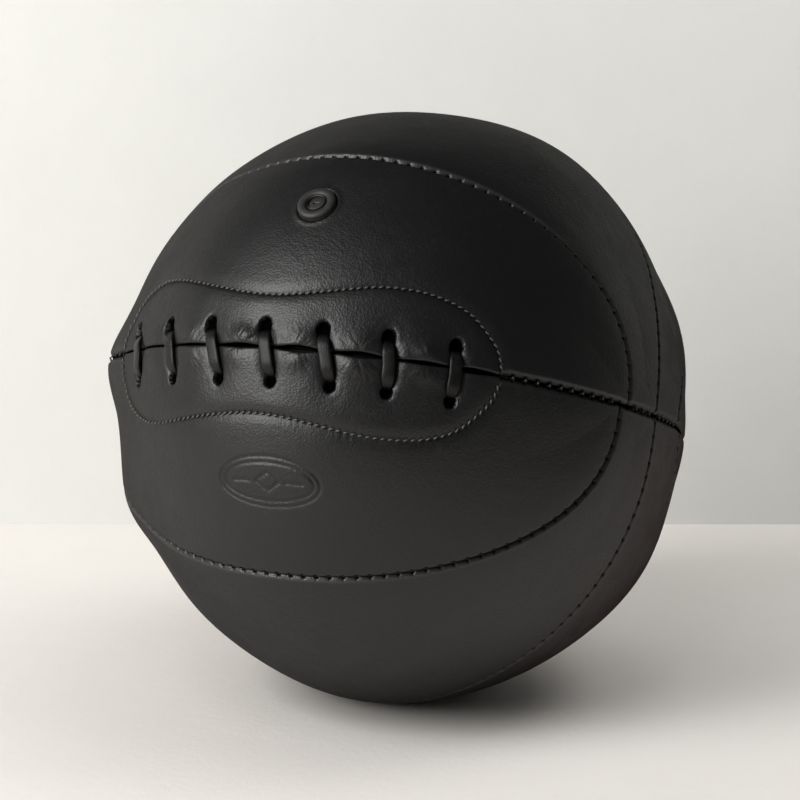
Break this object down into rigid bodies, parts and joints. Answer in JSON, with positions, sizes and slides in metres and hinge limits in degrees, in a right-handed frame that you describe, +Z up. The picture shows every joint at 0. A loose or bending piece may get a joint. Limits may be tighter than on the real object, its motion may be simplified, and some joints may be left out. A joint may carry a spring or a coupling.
{
  "type": "medicine ball",
  "caption": "Black leather medicine ball made of stitched panels, with a laced opening, an inflation valve and a flattened resting patch.",
  "frame": {"origin": "bottom centre of the ball's box, in the middle of the ground under it", "axes": "+Z up as the ball rests, -Y the side that the lacing faces, X along the lacing"},
  "size_m": [0.2326, 0.243, 0.2408],
  "materials": {
    "panel_leather": "semi-matte full grain",
    "lace_leather": "semi-matte, worn edges",
    "facing_leather": "rough flesh side",
    "lining_canvas": "plain weave",
    "waxed_thread": "waxed",
    "stitching_thread": "waxed",
    "felt": "pressed felt",
    "bladder_rubber": "matte",
    "valve_rubber": "satin"
  },
  "bodies": {
    "root": {"front_upper_oval_panel": "panel_leather", "front_upper_oval_lining": "lining_canvas", "front_upper_crescent_panel": "panel_leather", "front_upper_crescent_lining": "lining_canvas", "front_lower_oval_panel": "panel_leather", "front_lower_oval_lining": "lining_canvas", "front_lower_crescent_panel": "panel_leather", "front_lower_crescent_lining": "lining_canvas", "back_upper_oval_panel": "panel_leather", "back_upper_oval_lining": "lining_canvas", "back_upper_crescent_panel": "panel_leather", "back_upper_crescent_lining": "lining_canvas", "back_lower_oval_panel": "panel_leather", "back_lower_oval_lining": "lining_canvas", "back_lower_crescent_panel": "panel_leather", "back_lower_crescent_lining": "lining_canvas", "girdle_thread_front_left": "waxed_thread", "girdle_thread_front_right": "waxed_thread", "girdle_thread_right_front": "waxed_thread", "girdle_thread_right_back": "waxed_thread", "girdle_thread_back": "waxed_thread", "girdle_thread_left_back": "waxed_thread", "girdle_thread_left_front": "waxed_thread", "front_upper_oval_thread": "waxed_thread", "front_lower_oval_thread": "waxed_thread", "back_upper_oval_thread": "waxed_thread", "back_lower_oval_thread": "waxed_thread", "hoop_thread_upper": "waxed_thread", "hoop_thread_lower": "waxed_thread", "lacing_facing_upper": "facing_leather", "facing_stitching_upper": "stitching_thread", "weighting_felt_upper": "felt", "lacing_facing_lower": "facing_leather", "facing_stitching_lower": "stitching_thread", "weighting_felt_lower": "felt", "tongue": "facing_leather", "lace": "lace_leather", "bladder": "bladder_rubber", "valve_body": "valve_rubber", "valve_core": "valve_rubber"}
  },
  "joints": []
}
